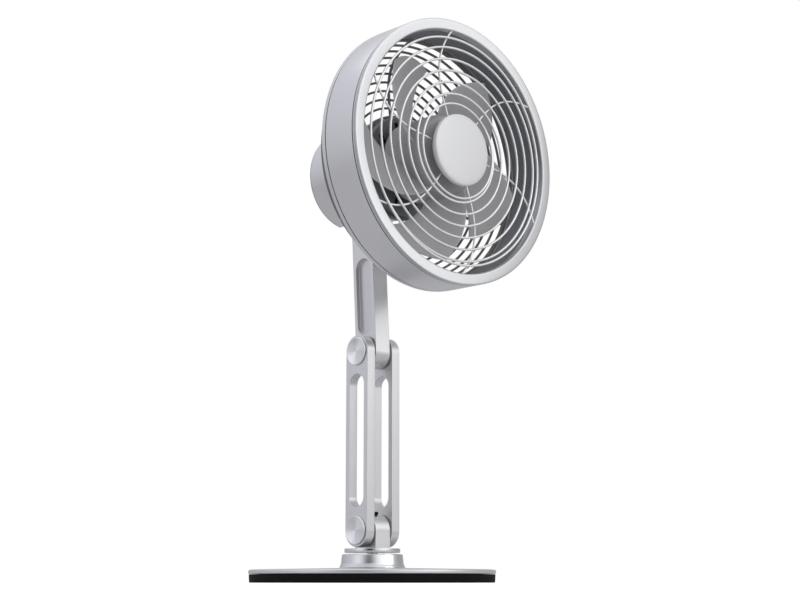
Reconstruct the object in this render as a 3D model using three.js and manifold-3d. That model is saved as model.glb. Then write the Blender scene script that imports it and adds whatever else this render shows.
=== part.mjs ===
// A desk fan on a folding stand: a round base, a turntable, a pair of links, an upper arm and a drum head.
// Millimetres, +Z up, the fan blows towards -Y. The origin is the centre of the base's underside.
import * as THREE from "three";
import { mergeVertices } from "three/addons/utils/BufferGeometryUtils.js";
import Module from "manifold-3d";

const wasm = await Module();
wasm.setup();

// ---- Driving dimensions -------------------------------------------------------------------------

const GAP = 0.3; // left between any two pieces that meet

const base = {
  radius: 95,
  padRadius: 94.6,
  padTop: 6.3,
  weightRadius: 72,
  weightFloor: 2.8,
  weightHole: 12,
  rimTop: 9.7,
  crownTop: 11,
  crownRadius: 27,
  screwRing: 55,
};
const collar = { footRadius: 25.5, waistRadius: 24.2, topRadius: 23.4, top: 21.5, wall: 3.4 };
const turntable = { radius: 21.5, floor: 22.6, top: 25.8, lugHalf: 7.4, lugRadius: 12.3 };
const swivel = { boltRadius: 4, headRadius: 8, headFloor: 3.1, headTop: 5.4, boltTop: 23.9 };

const lowerPivotZ = 39.5;
const link = { length: 138.4, halfWidth: 12.75, inner: 8.85, outer: 16.85, slotWidth: 16.5, slotLength: 103 };
const pin = { radius: 4, capRadius: 11, capThickness: 1 };
const washer = { inner: 4.3, outer: 10, floor: 7.72, top: 8.55 };

const arm = { half: 7.4, halfWidth: 12, pocketWidth: 17.3, pocketFrom: 14, pocketTo: 76, pocketDepth: 3.4 };
const elbow = { y: 0, z: lowerPivotZ + link.length };
const tilt = { y: 7.3, z: 300 }; // the head's pivot, inside the motor housing
const armLength = Math.hypot(tilt.y - elbow.y, tilt.z - elbow.z);
const armLean = Math.atan2(tilt.y - elbow.y, tilt.z - elbow.z); // backwards

// The head's own frame has its origin on the fan's axis in the plane of the bezel's face.
// Places along the axis are given as s, from that plane, positive towards the front.
const head = { y: -97.5, z: 322.8 };
const drum = { outer: 103.1, wall: 1.8, mouth: 94.3, bore: 96.2, liner: 97.9, ringFront: -34.3, rear: -38.8 };
const bezel = { depth: 4, spigot: 9, round: 0.7 };
const tie = { ring: 99.6, head: 1.8, shank: 1 };
const housing = { outer: 40, wall: 2.2, front: -68, rear: -128.5, capRear: -131.9 };
const slot = { half: 8.3, front: -82.5, top: -20 };
const grille = {
  wire: 1,
  s: -0.2,
  ringOuter: 88.4,
  ringInner: 36.7,
  spokeWire: 0.85,
  spokeFrom: 20,
  spokeTo: 93.2,
  spokeCount: 6,
  spokeAngle: 50.5,
  spokeSweep: 17.5,
  spiralFrom: 213,
  spiralTurns: 5.53,
  lead: 0.18, // of a turn, in which the spiral leaves the outer ring
  hubRadius: 25,
};
const hubCap = { radius: 27.9, floor: 1.1, shoulder: 4.4, crown: 5.8, wall: 1.5, boss: 4, bossFloor: -0.3 };
const guard = {
  radius: 95.8,
  rim: -39.4,
  depth: 31.4,
  rings: 9,
  bar: 1.8,
  ribs: 6,
  ribAngle: 38,
  ribWidth: 2.4,
};
const guardRim = { front: -36.4, back: -39.8, inner: 94.4, outer: 95.9 };
const guardSleeve = { inner: 40.3, outer: 42, front: -66, back: -71.5 };
const impeller = {
  hubRadius: 31.5,
  hubWall: 2.4,
  hubFront: -11,
  hubBack: -50,
  boss: 6,
  bossBack: -41,
  blades: 5,
  angle: 47,
  tip: 82,
  cornerCut: 11, // how far the tip falls back at the rear edge
  bladeFront: -17,
  bladeRear: -33,
  thickness: 1.8,
};
const motor = {
  radius: 18,
  front: -46,
  frontWall: 5.5,
  back: -82,
  bellBack: -85.8,
  magnetBore: 15,
  rotorRadius: 14.2,
  rotorFrom: -78,
  rotorTo: -53,
  shaft: 1.6,
};
const bulkhead = { front: -86.3, back: -88.8, radius: 37.4, bore: 5, notchHalf: 8.6, notchTop: -25 };
const cover = { outer: 39.7, wall: 2, front: -59, frontWall: 2.5, hole: 19, vents: 10, ventWidth: 3.6 };
const cell = { radius: 9.2, x: 28, from: -120.5, to: -70.5 };
const button = { radius: 6, flange: 7.2, z: 16, back: -133.1 };
const socket = { width: 9, height: 3.2, z: -8, wall: 0.5, floor: 1.5, front: -123.6 };

// ---- Materials ----------------------------------------------------------------------------------

const finish = (color, roughness, metalness) => ({ color, roughness, metalness });
const silverPaint = finish(0xc4c4ca, 0.38, 0.7);
const satinAluminium = finish(0xd0d1d3, 0.32, 0.95);
const spunAluminium = finish(0xc9cbcf, 0.2, 1);
const brightWire = finish(0xdcdee0, 0.25, 0.9);
const blackRubber = finish(0x121314, 0.75, 0);
const darkPlastic = finish(0x3a3b3e, 0.55, 0);
const greyPlastic = finish(0x8c8a8e, 0.5, 0);
const steel = finish(0x9a9ca0, 0.35, 1);
const castIron = finish(0x3c3d40, 0.7, 0.8);
const zincSteel = finish(0xb3b6ba, 0.3, 1);
const brass = finish(0xb98f45, 0.35, 1);
const copper = finish(0xa8623c, 0.4, 1);
const nylon = finish(0xe6e4dc, 0.5, 0);
const cellWrap = finish(0x2f6fa5, 0.4, 0);
const boardGreen = finish(0x1d5a3a, 0.5, 0);

// ---- Solids -------------------------------------------------------------------------------------

// A geometry whose shared vertices are merged, without the triangles that this collapses.
function closed(geometry) {
  const bare = geometry.clone();
  bare.deleteAttribute("normal");
  bare.deleteAttribute("uv");
  const merged = mergeVertices(bare, 1e-3);
  const index = [];
  for (let i = 0; i < merged.index.count; i += 3) {
    const [a, b, c] = [0, 1, 2].map((k) => merged.index.getX(i + k));
    if (a !== b && b !== c && c !== a) index.push(a, b, c);
  }
  return merged.setIndex(index);
}

function toSolid(geometry) {
  const g = closed(geometry);
  return new wasm.Manifold(
    new wasm.Mesh({
      numProp: 3,
      vertProperties: new Float32Array(g.attributes.position.array),
      triVerts: new Uint32Array(g.index.array),
    }),
  );
}

function toGeometry(solid) {
  const mesh = solid.getMesh();
  const geometry = new THREE.BufferGeometry();
  geometry.setAttribute("position", new THREE.BufferAttribute(mesh.vertProperties, 3));
  geometry.setIndex(new THREE.BufferAttribute(mesh.triVerts, 1));
  geometry.computeVertexNormals();
  return geometry;
}

const join = (...parts) => toGeometry(parts.map(toSolid).reduce((a, b) => a.add(b)));
const cut = (body, ...tools) => toGeometry(tools.map(toSolid).reduce((a, b) => a.subtract(b), toSolid(body)));

// A solid of revolution about +Z. The profile's points are [radius, z].
// It starts and ends on the axis, or closes up as a ring.
function turned(profile, segments = 32) {
  const ring = profile[0][0] > 0 || profile.at(-1)[0] > 0;
  const points = profile.map(([r, z]) => new THREE.Vector2(r, z));
  if (THREE.ShapeUtils.area(points) < 0) points.reverse();
  if (ring) points.push(points[0].clone());
  return closed(new THREE.LatheGeometry(points, segments)).rotateX(Math.PI / 2);
}

// The same about the head's axis, with points [radius, s].
const turnedHead = (profile, segments) => turned(profile, segments).rotateX(Math.PI / 2);

// The same about +X, with points [radius, x].
const turnedX = (profile, segments) => turned(profile, segments).rotateY(Math.PI / 2);

const disc = (radius, from, to) => [[0, from], [radius, from], [radius, to], [0, to]];
const tube = (inner, outer, from, to) => [[inner, from], [outer, from], [outer, to], [inner, to]];
const mirrored = (profile, side) => profile.map(([r, x]) => [r, side * x]);

function box(x, y, z) {
  const size = [x, y, z].map(([from, to]) => to - from);
  const middle = [x, y, z].map(([from, to]) => (from + to) / 2);
  return new THREE.BoxGeometry(...size).translate(...middle);
}

// A flat outline in the YZ plane, given thickness from x0 to x1 with a small chamfer round both faces.
function plateX(shape, x0, x1, chamfer = 0.6) {
  const geometry = new THREE.ExtrudeGeometry(shape, {
    depth: x1 - x0 - 2 * chamfer,
    bevelEnabled: chamfer > 0,
    bevelThickness: chamfer,
    bevelSize: chamfer,
    bevelOffset: -chamfer,
    bevelSegments: 1,
    curveSegments: 6,
  });
  const axes = new THREE.Matrix4().makeBasis(
    new THREE.Vector3(0, 1, 0),
    new THREE.Vector3(0, 0, 1),
    new THREE.Vector3(1, 0, 0),
  );
  return geometry.translate(0, 0, chamfer).applyMatrix4(axes).translate(x0, 0, 0);
}

// A bar with round ends between heights z0 and z1, as an outline in the YZ plane.
function obround(halfWidth, z0, z1, Outline = THREE.Shape) {
  const outline = new Outline();
  outline.absarc(0, z1, halfWidth, 0, Math.PI, false);
  outline.absarc(0, z0, halfWidth, Math.PI, 2 * Math.PI, false);
  outline.closePath();
  return outline;
}

// A wire of round section along a curve.
function wire(curve, radius, steps, sides = 4) {
  const section = new THREE.Shape();
  for (let i = 0; i < sides; i += 1) {
    const a = (2 * Math.PI * (i + 0.5)) / sides;
    section[i ? "lineTo" : "moveTo"](radius * Math.cos(a), radius * Math.sin(a));
  }
  section.closePath();
  return new THREE.ExtrudeGeometry(section, { steps, bevelEnabled: false, extrudePath: curve });
}

// A point of the head at a radius, an angle in degrees seen from the front, and a place along the axis.
function headPoint(radius, degrees, s) {
  const a = THREE.MathUtils.degToRad(degrees);
  return new THREE.Vector3(radius * Math.cos(a), -s, radius * Math.sin(a));
}

class HeadCurve extends THREE.Curve {
  constructor(radiusAt, degreesAt, s) {
    super();
    Object.assign(this, { radiusAt, degreesAt, s });
  }
  getPoint(t) {
    return headPoint(this.radiusAt(t), this.degreesAt(t), this.s);
  }
}

// ---- Groups and nodes ---------------------------------------------------------------------------

const group = new THREE.Group();
const stand = new THREE.Group();
const lowerArm = new THREE.Group();
lowerArm.position.set(0, 0, lowerPivotZ);
const upperArm = new THREE.Group();
upperArm.position.set(0, elbow.y, elbow.z);
upperArm.rotation.x = -armLean;
const fanHead = new THREE.Group();
fanHead.position.set(0, head.y, head.z);
group.add(stand, lowerArm, upperArm, fanHead);

function node(parent, name, geometry, look) {
  const mesh = new THREE.Mesh(geometry, new THREE.MeshStandardMaterial(look));
  mesh.name = name;
  parent.add(mesh);
  return mesh;
}

// ---- Base and turntable -------------------------------------------------------------------------

function basePad() {
  const { padRadius, padTop, weightRadius, weightFloor } = base;
  const floor = weightFloor - GAP;
  return turned(
    [
      [0, 0],
      [padRadius - 0.8, 0],
      [padRadius, 0.8],
      [padRadius, padTop],
      [weightRadius + GAP, padTop],
      [weightRadius + GAP, floor],
      [0, floor],
    ],
    48,
  );
}

function around(count, firstAngle, radius) {
  return Array.from({ length: count }, (_, i) => {
    const a = THREE.MathUtils.degToRad(firstAngle + (360 * i) / count);
    return [radius * Math.cos(a), radius * Math.sin(a)];
  });
}

const baseScrewPlaces = around(3, 90, base.screwRing);
const baseScrew = { head: 3.2, shank: 1.5, floor: 3.1, neck: 4.6, tip: 8.9 };

function baseWeight() {
  const ring = turned(tube(base.weightHole, base.weightRadius, base.weightFloor, base.padTop), 32);
  const { head: wide, shank, floor, neck } = baseScrew;
  const holes = baseScrewPlaces.flatMap(([x, y]) => [
    turned(disc(wide + GAP, floor - 1, neck + GAP), 12).translate(x, y, 0),
    turned(disc(shank + GAP, floor, base.padTop + 1), 12).translate(x, y, 0),
  ]);
  return cut(ring, ...holes);
}

function basePlate() {
  const { radius, padTop, rimTop, crownTop, crownRadius } = base;
  const floor = padTop + GAP;
  const bore = swivel.boltRadius + GAP;
  const plate = turned(
    [
      [bore, floor],
      [radius - 0.5, floor],
      [radius, floor + 0.5],
      [radius, rimTop - 0.8],
      [radius - 0.8, rimTop],
      [crownRadius, crownTop],
      [bore, crownTop],
    ],
    48,
  );
  const holes = baseScrewPlaces.map(([x, y]) =>
    turned(disc(baseScrew.shank + GAP, floor - 1, baseScrew.tip + GAP), 12).translate(x, y, 0),
  );
  return cut(plate, ...holes);
}

function screwZ({ head: wide, shank, floor, neck, tip }) {
  return turned([[0, floor], [wide, floor], [wide, neck], [shank, neck], [shank, tip], [0, tip]], 12);
}

function baseCollar() {
  const { footRadius, waistRadius, topRadius, top, wall } = collar;
  const foot = base.crownTop + GAP;
  return turned(
    [
      [footRadius - wall, foot],
      [footRadius, foot],
      [footRadius - 0.3, foot + 0.8],
      [waistRadius, foot + 2.6],
      [topRadius, top - 0.5],
      [topRadius - 0.5, top],
      [swivel.boltRadius + GAP, top],
      [swivel.boltRadius + GAP, top - wall],
      [footRadius - wall - 2, top - wall],
    ],
    28,
  );
}

function turntableBody() {
  const { radius, floor, top, lugHalf, lugRadius } = turntable;
  const flange = turned(
    [
      [0, floor],
      [radius - 0.4, floor],
      [radius, floor + 0.4],
      [radius, top - 0.4],
      [radius - 0.4, top],
      [0, top],
    ],
    28,
  );
  const outline = new THREE.Shape();
  outline.moveTo(-lugRadius, floor + 1);
  outline.lineTo(lugRadius, floor + 1);
  outline.absarc(0, lowerPivotZ, lugRadius, 0, Math.PI, false);
  outline.closePath();
  const lug = plateX(outline, -lugHalf, lugHalf, 0);
  const pinHole = turnedX(disc(pin.radius + GAP, -20, 20), 16).translate(0, 0, lowerPivotZ);
  const boltHole = turned(disc(swivel.boltRadius + GAP, floor - 1, swivel.boltTop + GAP), 16);
  const bumperHole = turned(disc(bumper.stem + GAP, bumper.floor - GAP, lowerPivotZ + 20), 12);
  return cut(join(flange, lug), pinHole, boltHole, bumperHole.translate(0, bumper.y, 0));
}

const bumper = { y: -4, stem: 1.2, radius: 1.9, floor: lowerPivotZ + 8.5, rise: 2.1 };

// A soft button that the upper arm would rest on: its stem sits in the top of the lug.
function foldBumper() {
  const skin = lowerPivotZ + Math.sqrt(turntable.lugRadius ** 2 - bumper.y ** 2) + 2 * GAP;
  const top = skin + bumper.rise;
  return turned(
    [
      [0, bumper.floor],
      [bumper.stem, bumper.floor],
      [bumper.stem, skin],
      [bumper.radius, skin],
      [bumper.radius, top - 0.6],
      [bumper.radius - 0.7, top],
      [0, top],
    ],
    12,
  ).translate(0, bumper.y, 0);
}

function swivelBolt() {
  const { boltRadius, headRadius, headFloor, headTop, boltTop } = swivel;
  return turned(
    [
      [0, headFloor],
      [headRadius, headFloor],
      [headRadius, headTop],
      [boltRadius, headTop],
      [boltRadius, boltTop],
      [0, boltTop],
    ],
    20,
  );
}

node(stand, "base_pad", basePad(), blackRubber);
node(stand, "base_weight", baseWeight(), castIron);
node(stand, "base_plate", basePlate(), satinAluminium);
baseScrewPlaces.forEach(([x, y], i) => {
  node(stand, "base_screw_" + (i + 1), screwZ(baseScrew).translate(x, y, 0), zincSteel);
});
node(stand, "base_collar", baseCollar(), spunAluminium);
const bushing = tube(swivel.boltRadius + GAP, 8, base.crownTop + GAP, collar.top - collar.wall - GAP);
node(stand, "swivel_bushing", turned(bushing, 16), nylon);
const thrustWasher = tube(swivel.boltRadius + GAP, 9, swivel.headTop + 0.2, base.padTop + 0.1);
node(stand, "thrust_washer", turned(thrustWasher, 16), steel);
node(stand, "turntable", turntableBody(), spunAluminium);
node(stand, "swivel_bolt", swivelBolt(), zincSteel);
node(stand, "fold_bumper", foldBumper(), blackRubber);

// ---- Links and arm ------------------------------------------------------------------------------

function linkBody(side) {
  const { length, halfWidth, inner, outer, slotWidth, slotLength } = link;
  const outline = obround(halfWidth, 0, length);
  const middle = length / 2;
  const reach = (slotLength - slotWidth) / 2;
  outline.holes.push(obround(slotWidth / 2, middle - reach, middle + reach, THREE.Path));
  for (const z of [0, length]) {
    outline.holes.push(new THREE.Path().absarc(0, z, pin.radius + GAP, 0, 2 * Math.PI, true));
  }
  const [x0, x1] = side > 0 ? [inner, outer] : [-outer, -inner];
  return plateX(outline, x0, x1);
}

function pinCap(side) {
  const from = link.outer + GAP;
  const to = from + pin.capThickness;
  const profile = [
    [0, from],
    [pin.capRadius, from],
    [pin.capRadius, to - 0.4],
    [pin.capRadius - 0.4, to],
    [0, to - 0.3],
  ];
  return turnedX(mirrored(profile, side), 20);
}

function frictionWasher(side) {
  return turnedX(mirrored(tube(washer.inner, washer.outer, washer.floor, washer.top), side), 16);
}

function armBody() {
  const { half, halfWidth, pocketWidth, pocketFrom, pocketTo, pocketDepth } = arm;
  const outline = obround(halfWidth, 0, armLength);
  outline.holes.push(new THREE.Path().absarc(0, 0, pin.radius + GAP, 0, 2 * Math.PI, true));
  outline.holes.push(new THREE.Path().absarc(0, armLength, tiltPin.radius + GAP, 0, 2 * Math.PI, true));
  const pocketHalf = pocketWidth / 2;
  const pocket = obround(pocketHalf, pocketFrom + pocketHalf, pocketTo - pocketHalf);
  const tools = [-1, 1].map((side) => {
    const walls = [side * (half - pocketDepth), side * (half + 1)].sort((a, b) => a - b);
    return plateX(pocket, walls[0], walls[1], 0);
  });
  return cut(plateX(outline, -half, half), ...tools);
}

const tiltPin = { radius: 3, headRadius: 4.8, neck: 11.5, end: 13.2 };
const tiltWasher = { inner: 3.3, outer: 9, floor: 7.66, top: 8.42 };

const sides = [
  ["left", -1],
  ["right", 1],
];
for (const [side, sign] of sides) {
  node(lowerArm, side + "_link", linkBody(sign), satinAluminium);
}
for (const [joint, z] of [
  ["lower", 0],
  ["elbow", link.length],
]) {
  const shank = disc(pin.radius, -link.outer, link.outer);
  node(lowerArm, joint + "_pin", turnedX(shank, 16), steel).position.z = z;
  for (const [side, sign] of sides) {
    node(lowerArm, `${joint}_pin_cap_${side}`, pinCap(sign), satinAluminium).position.z = z;
    node(lowerArm, `${joint}_washer_${side}`, frictionWasher(sign), nylon).position.z = z;
  }
}
node(upperArm, "upper_arm", armBody(), satinAluminium);

// ---- Tilt hinge, inside the motor housing -------------------------------------------------------

const pivot = { y: tilt.y - head.y, z: tilt.z - head.z }; // in the head's frame

// Its two ears stand on a flange that is screwed to the bulkhead. Places are measured from the pivot.
const bracket = { inner: 8.7, outer: 11.2, radius: 10, face: -13.7, flange: 2, half: 17, low: 2.5, high: 17 };
const bracketScrew = { head: 2.4, shank: 1.5, grip: 2, intoBulkhead: 0.4 };
const bracketScrewPlaces = [-1, 1].map((side) => [side * 14.2, 11]);

function tiltBracket() {
  const { inner, outer, radius, face, half, low, high } = bracket;
  const outline = new THREE.Shape();
  outline.moveTo(face - 1, -radius);
  outline.absarc(0, 0, radius, -Math.PI / 2, Math.PI / 2, false);
  outline.lineTo(face - 1, radius);
  outline.closePath();
  const flange = box([-half, half], [face - bracket.flange, face], [low, high]);
  const ears = [-1, 1].map((side) => {
    const walls = [side * inner, side * outer].sort((a, b) => a - b);
    return plateX(outline, walls[0], walls[1], 0);
  });
  const pinHole = turnedX(disc(tiltPin.radius + GAP, -20, 20), 16);
  const screwHoles = bracketScrewPlaces.map(([x, z]) =>
    turnedHead(disc(bracketScrew.shank + GAP, -5, 30), 12).translate(x, 0, z),
  );
  return cut(join(flange, ...ears), pinHole, ...screwHoles).translate(0, pivot.y, pivot.z);
}

function tiltPinBody() {
  const { radius, headRadius, neck, end } = tiltPin;
  const half = [
    [radius, neck],
    [headRadius, neck],
    [headRadius, end],
    [0, end],
  ];
  return turnedX([...mirrored(half, -1).reverse(), ...half], 16).translate(0, pivot.y, pivot.z);
}

// A screw along the head's axis, its head towards the rear.
function screwS(wide, shank, back, neck, tip) {
  return turnedHead([[0, back], [wide, back], [wide, neck], [shank, neck], [shank, tip], [0, tip]], 12);
}

node(fanHead, "tilt_pin", tiltPinBody(), steel);
node(fanHead, "tilt_bracket", tiltBracket(), zincSteel);
for (const [side, sign] of sides) {
  const ring = mirrored(tube(tiltWasher.inner, tiltWasher.outer, tiltWasher.floor, tiltWasher.top), sign);
  node(fanHead, "tilt_washer_" + side, turnedX(ring, 16).translate(0, pivot.y, pivot.z), nylon);
}
bracketScrewPlaces.forEach(([x, z], i) => {
  const { head: wide, shank, grip, intoBulkhead } = bracketScrew;
  const flangeBack = -(pivot.y + bracket.face);
  const screw = screwS(wide, shank, flangeBack - grip, flangeBack - GAP, bulkhead.front + intoBulkhead);
  node(fanHead, "bracket_screw_" + (i + 1), screw.translate(x, 0, pivot.z + z), zincSteel);
});

// ---- Drum ---------------------------------------------------------------------------------------

const tieScrewPlaces = around(4, 45, tie.ring);

function tieHoles(radius, from, to) {
  return tieScrewPlaces.map(([x, z]) => turnedHead(disc(radius, from, to), 12).translate(x, 0, z));
}

function frontBezel() {
  const { outer, mouth, bore, liner } = drum;
  const { depth, spigot, round } = bezel;
  const ring = turnedHead(
    [
      [mouth, -depth],
      [bore, -depth],
      [bore, -spigot],
      [liner, -spigot],
      [liner, -depth],
      [outer, -depth],
      [outer, -round],
      [outer - round, 0],
      [mouth + round, 0],
      [mouth, -round],
    ],
    48,
  );
  return cut(ring, ...tieHoles(tie.shank + GAP, -depth - 1, -1.5));
}

function rearRing() {
  const { outer, bore, ringFront, rear } = drum;
  const ring = turnedHead(
    [
      [bore, rear],
      [outer - 0.8, rear],
      [outer, rear + 0.8],
      [outer, ringFront],
      [bore, ringFront],
    ],
    48,
  );
  const shanks = tieHoles(tie.shank + GAP, rear - 1, ringFront + 1);
  return cut(ring, ...shanks, ...tieHoles(tie.head + GAP, rear - 1, rear + 2.1));
}

// The rear guard is a bowl: its profile falls steeply from the rim and is nearly flat round the housing.
class BowlCurve extends THREE.Curve {
  getPoint(t) {
    const a = t * Math.acos((guardSleeve.outer / guard.radius) ** 4);
    const r = guard.radius * Math.cos(a) ** 0.25;
    return new THREE.Vector3(r, guard.rim - guard.depth * Math.sin(a) ** 1.9, 0);
  }
}

function guardRib(profile, degrees) {
  const half = guard.bar / 2;
  const inside = profile.map(({ x: r, y: s }) => new THREE.Vector2(r - 2 * half, -s - half));
  const outside = profile.map(({ x: r, y: s }) => new THREE.Vector2(r, -s + half)).reverse();
  const outline = new THREE.Shape([...inside, ...outside]);
  const rib = new THREE.ExtrudeGeometry(outline, { depth: guard.ribWidth, bevelEnabled: false });
  return rib.translate(0, 0, -guard.ribWidth / 2).rotateY(-THREE.MathUtils.degToRad(degrees));
}

function rearGuardBody() {
  const { rings, bar, ribs, ribAngle } = guard;
  const bowl = new BowlCurve();
  const half = bar / 2;
  const middles = bowl.getSpacedPoints(rings + 1).slice(1, -1);
  const hoops = middles.map(({ x: r, y: s }) => turnedHead(tube(r - half, r + half, s - half, s + half), 24));
  const edge = ({ inner, outer, back, front }, steps) => turnedHead(tube(inner, outer, back, front), steps);
  const profile = bowl.getSpacedPoints(8);
  const bars = Array.from({ length: ribs }, (_, i) => guardRib(profile, ribAngle + (360 * i) / ribs));
  return join(edge(guardRim, 48), edge(guardSleeve, 28), ...hoops, ...bars);
}

function ringWire(radius, s, thickness, segments) {
  const section = [0, 1, 2, 3].map((i) => {
    const a = (Math.PI * (i + 0.5)) / 2;
    return [radius + thickness * Math.cos(a), s + thickness * Math.sin(a)];
  });
  return turnedHead(section, segments);
}

// Wires: two closed rings, a spiral that winds inwards between them, and six bowed spokes behind.
// The spokes start on a small disc behind the hub cap.
function frontGrille() {
  const g = grille;
  const step = (g.ringOuter - g.ringInner) / (g.spiralTurns + g.lead);
  const spiralRadius = (t) => {
    const turns = t * g.spiralTurns;
    return g.ringOuter - step * (turns + g.lead * Math.min(1, turns / g.lead));
  };
  const spiral = new HeadCurve(spiralRadius, (t) => g.spiralFrom + 360 * g.spiralTurns * t, g.s);
  const behind = g.s - Math.SQRT1_2 * (g.wire + g.spokeWire) + 0.25; // the square sections bite a little
  const spokes = Array.from({ length: g.spokeCount }, (_, i) => {
    const start = g.spokeAngle + (360 * i) / g.spokeCount;
    const radiusAt = (t) => g.spokeFrom + (g.spokeTo - g.spokeFrom) * t;
    const bow = (t) => Math.max(0, (radiusAt(t) - g.ringInner) / (g.spokeTo - g.ringInner)) ** 2;
    return wire(new HeadCurve(radiusAt, (t) => start - g.spokeSweep * bow(t), behind), g.spokeWire, 6);
  });
  const disk = turnedHead(disc(g.hubRadius, behind - 1, behind + 0.6), 24);
  const rings = [g.ringOuter, g.ringInner].map((r) => ringWire(r, g.s, g.wire, r > 50 ? 40 : 24));
  return join(...rings, wire(spiral, g.wire, 136), disk, ...spokes);
}

function hubCapBody() {
  const { radius, floor, shoulder, crown, wall, boss, bossFloor } = hubCap;
  return turnedHead(
    [
      [0, crown],
      [radius * 0.55, crown - 0.35],
      [radius - 1.4, shoulder + 0.5],
      [radius, shoulder - 0.8],
      [radius, floor],
      [radius - wall, floor],
      [radius - wall, shoulder - wall],
      [boss, shoulder - wall],
      [boss, bossFloor],
      [0, bossFloor],
    ],
    28,
  );
}

node(fanHead, "front_bezel", frontBezel(), satinAluminium);
const shell = tube(drum.outer - drum.wall, drum.outer, drum.ringFront + GAP, -bezel.depth - GAP);
node(fanHead, "shroud", turnedHead(shell, 48), silverPaint);
const duct = tube(drum.bore, drum.liner, drum.ringFront + GAP, -bezel.spigot - GAP);
node(fanHead, "duct_ring", turnedHead(duct, 48), darkPlastic);
node(fanHead, "rear_ring", rearRing(), silverPaint);
node(fanHead, "rear_guard", rearGuardBody(), darkPlastic);
node(fanHead, "front_grille", frontGrille(), brightWire);
node(fanHead, "hub_cap", hubCapBody(), satinAluminium);
tieScrewPlaces.forEach(([x, z], i) => {
  const screw = screwS(tie.head, tie.shank, drum.rear + 0.2, drum.rear + 1.7, -1.9);
  node(fanHead, "drum_screw_" + (i + 1), screw.translate(x, 0, z), zincSteel);
});

// ---- Motor housing and what it holds ------------------------------------------------------------

function armSlot(from, to) {
  return box([-slot.half, slot.half], [-to, -from], [-housing.outer - 1, slot.top]);
}

function motorHousing() {
  const { outer, wall, front, rear } = housing;
  const tubeBody = turnedHead(tube(outer - wall, outer, rear, front), 40);
  return cut(tubeBody, armSlot(rear - 1, slot.front));
}

function rearCap() {
  const { outer, wall, rear, capRear } = housing;
  const back = rear - GAP;
  const spigot = outer - wall - GAP;
  const lid = turnedHead(
    [
      [0, capRear],
      [outer - 2, capRear],
      [outer - 0.5, capRear + 0.7],
      [outer, capRear + 2],
      [outer, back],
      [spigot, back],
      [spigot, back + 3.5],
      [spigot - 2, back + 3.5],
      [spigot - 2, back],
      [0, back],
    ],
    40,
  );
  const buttonHole = turnedHead(disc(button.radius + GAP, capRear - 1, back + 1), 20);
  const socketHole = socketBlock(GAP, capRear - 1, back + 1);
  return cut(lid, armSlot(capRear - 1, back + 5), buttonHole.translate(0, 0, button.z), socketHole);
}

// The stadium shape of the charging inlet, grown by a margin, from s0 to s1.
function socketBlock(margin, s0, s1) {
  const half = socket.height / 2 + margin;
  const reach = (socket.width - socket.height) / 2;
  const outline = new THREE.Shape();
  outline.absarc(reach, 0, half, -Math.PI / 2, Math.PI / 2, false);
  outline.absarc(-reach, 0, half, Math.PI / 2, 1.5 * Math.PI, false);
  outline.closePath();
  const block = new THREE.ExtrudeGeometry(outline, { depth: s1 - s0, bevelEnabled: false, curveSegments: 6 });
  return block.rotateX(Math.PI / 2).translate(0, -s0, socket.z);
}

function bulkheadBody() {
  const { front, back, radius, bore, notchHalf, notchTop } = bulkhead;
  const hole = (r, segments) => turnedHead(disc(r, back - 1, front + 1), segments);
  const plate = turnedHead(disc(radius, back, front), 28);
  const armNotch = box([-notchHalf, notchHalf], [-front - 1, -back + 1], [-radius - 1, notchTop]);
  const cells = [-1, 1].map((side) => hole(cell.radius + GAP, 20).translate(side * cell.x, 0, 0));
  const screwHoles = bracketScrewPlaces.map(([x, z]) =>
    hole(bracketScrew.shank + GAP, 12).translate(x, 0, pivot.z + z),
  );
  return cut(plate, armNotch, ...cells, hole(bore, 16), ...screwHoles);
}

// A shallow cup round the motor, with vents in its face.
function motorCover() {
  const { outer, wall, front, frontWall, hole, vents, ventWidth } = cover;
  const back = front - frontWall;
  const cup = turnedHead(
    [
      [hole, front],
      [outer - 1.5, front],
      [outer, front - 1.5],
      [outer, housing.front + GAP],
      [outer - wall, housing.front + GAP],
      [outer - wall, back],
      [hole, back],
    ],
    40,
  );
  const half = ventWidth / 2;
  const slots = Array.from({ length: vents }, (_, i) =>
    box([hole + 4, outer - 5], [-front - 1, -back + 1], [-half, half]).rotateY((2 * Math.PI * i) / vents),
  );
  return cut(cup, ...slots);
}

const bearing = { radius: 4.5, bore: 1.9, length: 3 };

function motorCan() {
  const { radius, front, back, shaft, magnetBore, frontWall } = motor;
  const pocket = bearing.radius + GAP;
  const seat = front - bearing.length - 2 * GAP;
  return turnedHead(
    [
      [magnetBore, back],
      [radius, back],
      [radius, front - 0.8],
      [radius - 0.8, front],
      [pocket, front],
      [pocket, seat],
      [shaft + 0.5, seat],
      [shaft + 0.5, front - frontWall],
      [magnetBore, front - frontWall],
    ],
    20,
  );
}

function motorBell() {
  const { radius, back, bellBack } = motor;
  const pocket = bearing.radius + GAP;
  return turnedHead(
    [
      [0, bellBack],
      [radius - 2, bellBack],
      [radius - 1, bellBack + 1],
      [radius - 1, back - GAP],
      [pocket, back - GAP],
      [pocket, bellBack + 0.4],
      [0, bellBack + 0.4],
    ],
    16,
  );
}

function bearingRing(from) {
  return turnedHead(tube(bearing.bore, bearing.radius, from, from + bearing.length), 16);
}

function powerButton() {
  const capBack = housing.rear - GAP;
  const flange = capBack + GAP;
  return turnedHead(
    [
      [0, button.back],
      [button.radius - 0.6, button.back],
      [button.radius, button.back + 0.6],
      [button.radius, flange],
      [button.flange, flange],
      [button.flange, flange + 1.2],
      [0, flange + 1.2],
    ],
    20,
  ).translate(0, 0, button.z);
}

const board = { from: -123.9, to: -122.3, half: 16, low: 4, high: 28 };

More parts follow.
